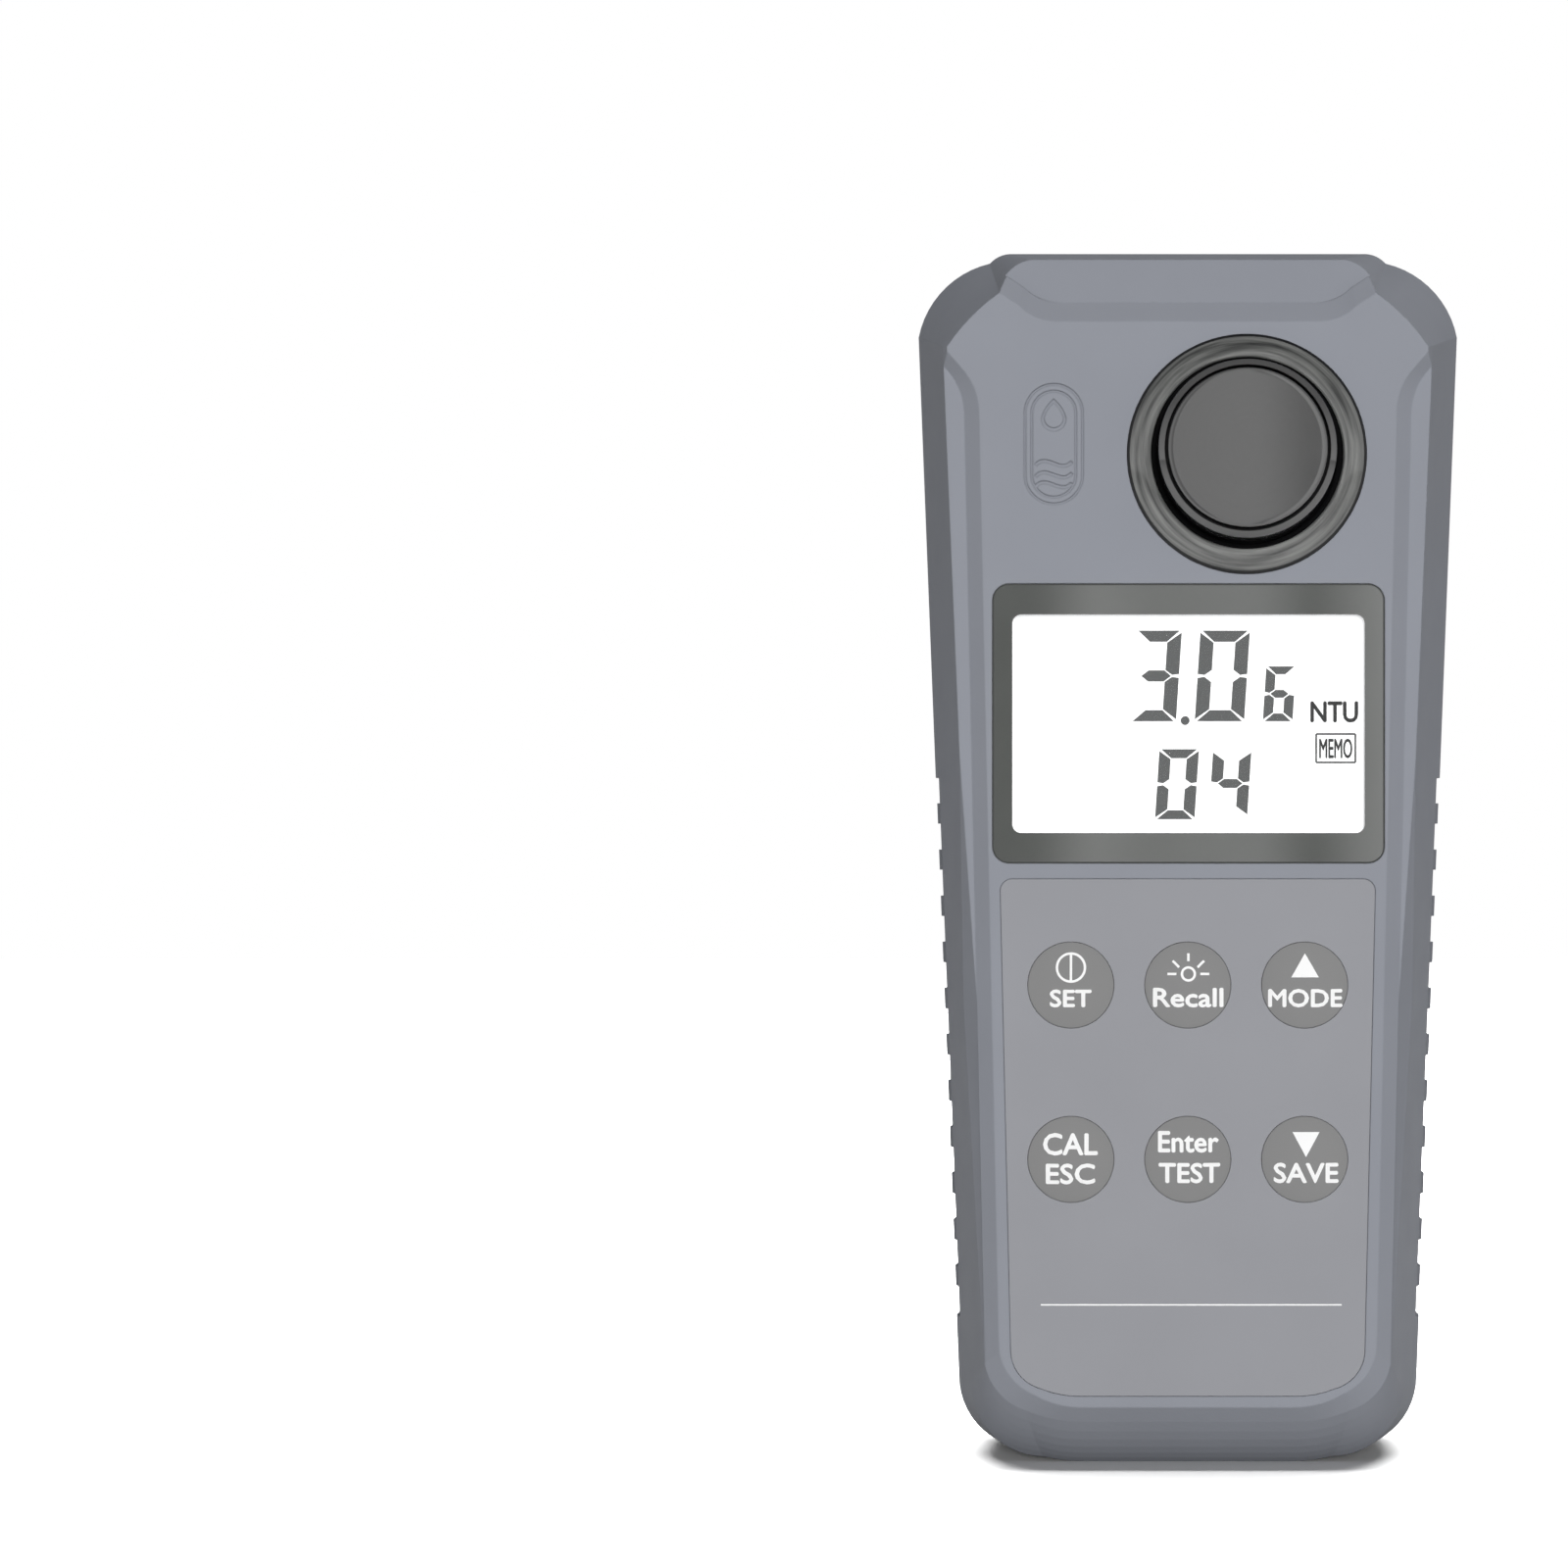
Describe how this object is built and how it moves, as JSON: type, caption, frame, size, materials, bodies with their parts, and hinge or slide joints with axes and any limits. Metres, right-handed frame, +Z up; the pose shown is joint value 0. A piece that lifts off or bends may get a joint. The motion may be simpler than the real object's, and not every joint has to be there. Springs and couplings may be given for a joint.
{
  "type": "turbidity meter",
  "caption": "Handheld turbidity meter that stands upright: tapered two-part housing with display, soft round keys and a front port that holds a capped glass sample vial.",
  "frame": {"origin": "on the base, at its middle from side to side and in the plane where the covers meet", "axes": "+Z up the meter's length, -Y out of the face with the display, +X to its right"},
  "size_m": [0.078, 0.0525, 0.1737],
  "materials": {
    "housing_plastic": "fine moulded texture, blue-grey",
    "grip_rubber": "soft, matt",
    "dark_rubber": "soft, black",
    "screw_steel": "plain",
    "window_gloss": "polished, printed grey border",
    "lcd_glass": "smooth",
    "light_guide": "white, translucent",
    "inner_black": "matt black",
    "overlay_sheet": "fine satin film",
    "key_silicone": "soft satin",
    "contact_nickel": "plated",
    "board_green": "solder mask",
    "chip_black": "moulded",
    "port_gloss": "polished",
    "lens_clear": "clear",
    "vial_glass": "clear",
    "cap_gloss": "polished, dark grey",
    "lead_red": "wire insulation",
    "cell_sleeve": "printed sleeve"
  },
  "bodies": {
    "housing": {"front_cover": "housing_plastic", "rear_cover": "housing_plastic", "grip_left": "grip_rubber", "grip_right": "grip_rubber", "housing_gasket": "dark_rubber", "window_gasket": "dark_rubber", "port_seal": "dark_rubber", "vial_cushion": "dark_rubber", "zebra_strips": "dark_rubber", "housing_screws": "screw_steel", "board_screws": "screw_steel", "display_window": "window_gloss", "lcd_panel": "lcd_glass", "lcd_backlight": "light_guide", "lcd_holder": "inner_black", "keypad_overlay": "overlay_sheet", "keypad_web": "key_silicone", "dome_switches": "contact_nickel", "main_board": "board_green", "sensor_board": "board_green", "processor_chip": "chip_black", "board_components": "chip_black", "sensor_chip": "chip_black", "sensor_socket": "chip_black", "buzzer": "chip_black", "sensor_cable": "light_guide", "port_ring": "port_gloss", "cell_holder": "inner_black", "infrared_led": "lens_clear", "beam_lens": "lens_clear", "transmitted_detector": "chip_black", "scatter_detector": "chip_black", "contact_springs": "contact_nickel", "contact_plates": "contact_nickel", "battery_leads": "lead_red", "battery_1": "cell_sleeve", "battery_2": "cell_sleeve", "battery_3": "cell_sleeve", "battery_4": "cell_sleeve"},
    "key_power_set_body": {"key_power_set": "key_silicone"},
    "key_light_recall_body": {"key_light_recall": "key_silicone"},
    "key_up_mode_body": {"key_up_mode": "key_silicone"},
    "key_cal_esc_body": {"key_cal_esc": "key_silicone"},
    "key_enter_test_body": {"key_enter_test": "key_silicone"},
    "key_down_save_body": {"key_down_save": "key_silicone"},
    "vial": {"sample_vial": "vial_glass"},
    "cap_seat": {"cap_liner": "light_guide"},
    "cap": {"vial_cap": "cap_gloss"},
    "door": {"battery_door": "housing_plastic", "door_gasket": "dark_rubber"},
    "screw": {"door_screw": "screw_steel"}
  },
  "joints": [
    {"name": "press_power_set", "type": "slide", "parent": "housing", "child": "key_power_set_body", "axis": [0, 1, 0], "range_m": [0, 0.0007], "stiffness_N_per_m": 900, "springref_m": -0.0002},
    {"name": "press_light_recall", "type": "slide", "parent": "housing", "child": "key_light_recall_body", "axis": [0, 1, 0], "range_m": [0, 0.0007], "stiffness_N_per_m": 900, "springref_m": -0.0002},
    {"name": "press_up_mode", "type": "slide", "parent": "housing", "child": "key_up_mode_body", "axis": [0, 1, 0], "range_m": [0, 0.0007], "stiffness_N_per_m": 900, "springref_m": -0.0002},
    {"name": "press_cal_esc", "type": "slide", "parent": "housing", "child": "key_cal_esc_body", "axis": [0, 1, 0], "range_m": [0, 0.0007], "stiffness_N_per_m": 900, "springref_m": -0.0002},
    {"name": "press_enter_test", "type": "slide", "parent": "housing", "child": "key_enter_test_body", "axis": [0, 1, 0], "range_m": [0, 0.0007], "stiffness_N_per_m": 900, "springref_m": -0.0002},
    {"name": "press_down_save", "type": "slide", "parent": "housing", "child": "key_down_save_body", "axis": [0, 1, 0], "range_m": [0, 0.0007], "stiffness_N_per_m": 900, "springref_m": -0.0002},
    {"name": "vial_pull", "type": "slide", "parent": "housing", "child": "vial", "axis": [0, -1, 0], "range_m": [0, 0.045]},
    {"name": "cap_lift", "type": "slide", "parent": "vial", "child": "cap_seat", "axis": [0, -1, 0], "range_m": [0, 0.0091]},
    {"name": "cap_turn", "type": "hinge", "parent": "cap_seat", "child": "cap", "pos_m": [0.0083, 0, 0.14285], "axis": [0, -1, 0], "range_deg": [0, 1080]},
    {"name": "door_lift", "type": "slide", "parent": "housing", "child": "door", "axis": [0, 1, 0], "range_m": [0, 0.03]},
    {"name": "door_screw_turn", "type": "hinge", "parent": "door", "child": "screw", "pos_m": [0, 0.0205, 0.077], "axis": [0, 1, 0], "range_deg": [0, 720]}
  ],
  "couplings": [
    {"joint": "cap_lift", "follows": "cap_turn", "m_per_rad": 0.00047746}
  ]
}
